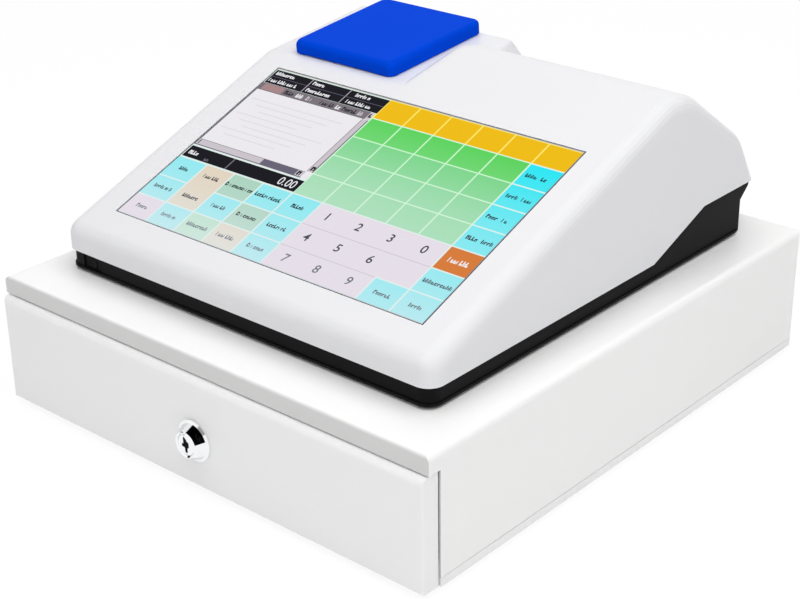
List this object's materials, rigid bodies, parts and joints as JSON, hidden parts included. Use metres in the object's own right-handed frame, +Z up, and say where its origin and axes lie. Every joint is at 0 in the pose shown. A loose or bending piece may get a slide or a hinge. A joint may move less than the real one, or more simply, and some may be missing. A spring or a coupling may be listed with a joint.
{
  "type": "ticket register",
  "caption": "Touch-screen ticket register with a sloping face and a hinged printer lid, standing on a steel cash drawer with a key lock.",
  "frame": {"origin": "centre of the overall box, on the plane that the drawer's feet stand on", "axes": "+Z up, the drawer opens towards -Y, +X to the right of a person facing the screen"},
  "size_m": [0.33, 0.3714, 0.1941],
  "materials": {
    "white_steel": "satin powder coat",
    "zinc_steel": "zinc plated",
    "lock_chrome": "polished",
    "white_plastic": "satin",
    "blue_plastic": "gloss",
    "black_plastic": "fine texture",
    "screen_glass": "gloss",
    "window": "gloss",
    "rubber": "matte",
    "nylon": "natural",
    "coil_winding": "enamelled wire",
    "circuit_board": "solder mask",
    "paper": "plain"
  },
  "bodies": {
    "case": {"drawer_cover": "white_steel", "base_pan": "white_steel", "left_rail": "zinc_steel", "right_rail": "zinc_steel", "drawer_feet": "rubber", "solenoid_frame": "zinc_steel", "solenoid_coil": "coil_winding", "bolt_spring": "zinc_steel", "spring_post": "zinc_steel", "eject_spring": "zinc_steel", "register_base": "black_plastic", "register_shell": "white_plastic", "touch_glass": "screen_glass", "lcd_module": "black_plastic", "main_board": "circuit_board", "dc_inlet": "black_plastic", "usb_ports": "zinc_steel", "network_socket": "zinc_steel", "drawer_socket": "black_plastic", "power_switch": "black_plastic", "register_feet": "rubber", "base_screws": "zinc_steel", "customer_window": "window", "customer_display": "circuit_board", "paper_bucket": "black_plastic", "thermal_head": "black_plastic", "tear_bar": "zinc_steel", "side_plate": "zinc_steel", "feed_motor": "zinc_steel", "hinge_pin": "zinc_steel"},
    "drawer": {"drawer_front": "white_steel", "drawer_tray": "zinc_steel", "cash_insert": "black_plastic", "clip_rod": "zinc_steel", "lock_bezel": "lock_chrome", "lock_nut": "zinc_steel", "striker_plate": "zinc_steel"},
    "key_lock": {"lock_cylinder": "lock_chrome", "lock_cam": "zinc_steel"},
    "clip_1": {"bill_clip_1": "black_plastic"},
    "clip_2": {"bill_clip_2": "black_plastic"},
    "clip_3": {"bill_clip_3": "black_plastic"},
    "clip_4": {"bill_clip_4": "black_plastic"},
    "front_left_wheel": {"front_roller_left": "nylon"},
    "front_right_wheel": {"front_roller_right": "nylon"},
    "rear_left_wheel": {"rear_roller_left": "nylon"},
    "rear_right_wheel": {"rear_roller_right": "nylon"},
    "bolt": {"latch_bolt": "zinc_steel"},
    "lid": {"printer_cover": "blue_plastic"},
    "platen": {"platen_roller": "rubber", "platen_gear": "nylon"},
    "idler": {"idler_gear": "nylon"},
    "pinion": {"motor_pinion": "nylon"},
    "paper": {"paper_roll": "paper"},
    "button": {"power_button": "black_plastic"}
  },
  "joints": [
    {"name": "drawer_slide", "type": "slide", "parent": "case", "child": "drawer", "axis": [0, -1, 0], "range_m": [0, 0.245]},
    {"name": "lock_turn", "type": "hinge", "parent": "drawer", "child": "key_lock", "pos_m": [0, -0.1781, 0.033], "axis": [0, 1, 0], "range_deg": [0, 90]},
    {"name": "clip_1_lift", "type": "hinge", "parent": "drawer", "child": "clip_1", "pos_m": [-0.1092, 0.1347, 0.0572], "axis": [-1, 0, 0], "range_deg": [0, 35]},
    {"name": "clip_2_lift", "type": "hinge", "parent": "drawer", "child": "clip_2", "pos_m": [-0.0364, 0.1347, 0.0572], "axis": [-1, 0, 0], "range_deg": [0, 35]},
    {"name": "clip_3_lift", "type": "hinge", "parent": "drawer", "child": "clip_3", "pos_m": [0.0364, 0.1347, 0.0572], "axis": [-1, 0, 0], "range_deg": [0, 35]},
    {"name": "clip_4_lift", "type": "hinge", "parent": "drawer", "child": "clip_4", "pos_m": [0.1092, 0.1347, 0.0572], "axis": [-1, 0, 0], "range_deg": [0, 35]},
    {"name": "front_left_spin", "type": "hinge", "parent": "case", "child": "front_left_wheel", "pos_m": [-0.154, -0.1443, 0.0214], "axis": [1, 0, 0], "continuous": true},
    {"name": "rear_left_spin", "type": "hinge", "parent": "drawer", "child": "rear_left_wheel", "pos_m": [-0.154, 0.1319, 0.0196], "axis": [1, 0, 0], "continuous": true},
    {"name": "front_right_spin", "type": "hinge", "parent": "case", "child": "front_right_wheel", "pos_m": [0.154, -0.1443, 0.0214], "axis": [1, 0, 0], "continuous": true},
    {"name": "rear_right_spin", "type": "hinge", "parent": "drawer", "child": "rear_right_wheel", "pos_m": [0.154, 0.1319, 0.0196], "axis": [1, 0, 0], "continuous": true},
    {"name": "latch_lift", "type": "slide", "parent": "case", "child": "bolt", "axis": [0, 0, 1], "range_m": [0, 0.006], "deforming": ["bolt_spring"]},
    {"name": "lid_hinge", "type": "hinge", "parent": "case", "child": "lid", "pos_m": [-0.0816, 0.11945, 0.18945], "axis": [-1, 0, 0], "range_deg": [0, 95]},
    {"name": "platen_spin", "type": "hinge", "parent": "lid", "child": "platen", "pos_m": [-0.0816, 0.04592, 0.17509], "axis": [1, 0, 0], "continuous": true},
    {"name": "idler_spin", "type": "hinge", "parent": "case", "child": "idler", "pos_m": [-0.0511, 0.04871, 0.16081], "axis": [1, 0, 0], "continuous": true},
    {"name": "pinion_spin", "type": "hinge", "parent": "case", "child": "pinion", "pos_m": [-0.0511, 0.05972, 0.15568], "axis": [1, 0, 0], "continuous": true},
    {"name": "paper_spin", "type": "hinge", "parent": "case", "child": "paper", "pos_m": [-0.08485, 0.08685, 0.15478], "axis": [1, 0, 0], "continuous": true},
    {"name": "button_press", "type": "slide", "parent": "case", "child": "button", "axis": [0, 1, 0], "range_m": [0, 0.0012], "stiffness_N_per_m": 400}
  ],
  "couplings": [
    {"joint": "front_left_spin", "follows": "drawer_slide", "rad_per_m": 142.86},
    {"joint": "front_right_spin", "follows": "drawer_slide", "rad_per_m": 142.86},
    {"joint": "rear_left_spin", "follows": "drawer_slide", "rad_per_m": 142.86},
    {"joint": "rear_right_spin", "follows": "drawer_slide", "rad_per_m": 142.86},
    {"joint": "idler_spin", "follows": "platen_spin", "ratio": -0.8},
    {"joint": "pinion_spin", "follows": "platen_spin", "ratio": 1.6}
  ]
}
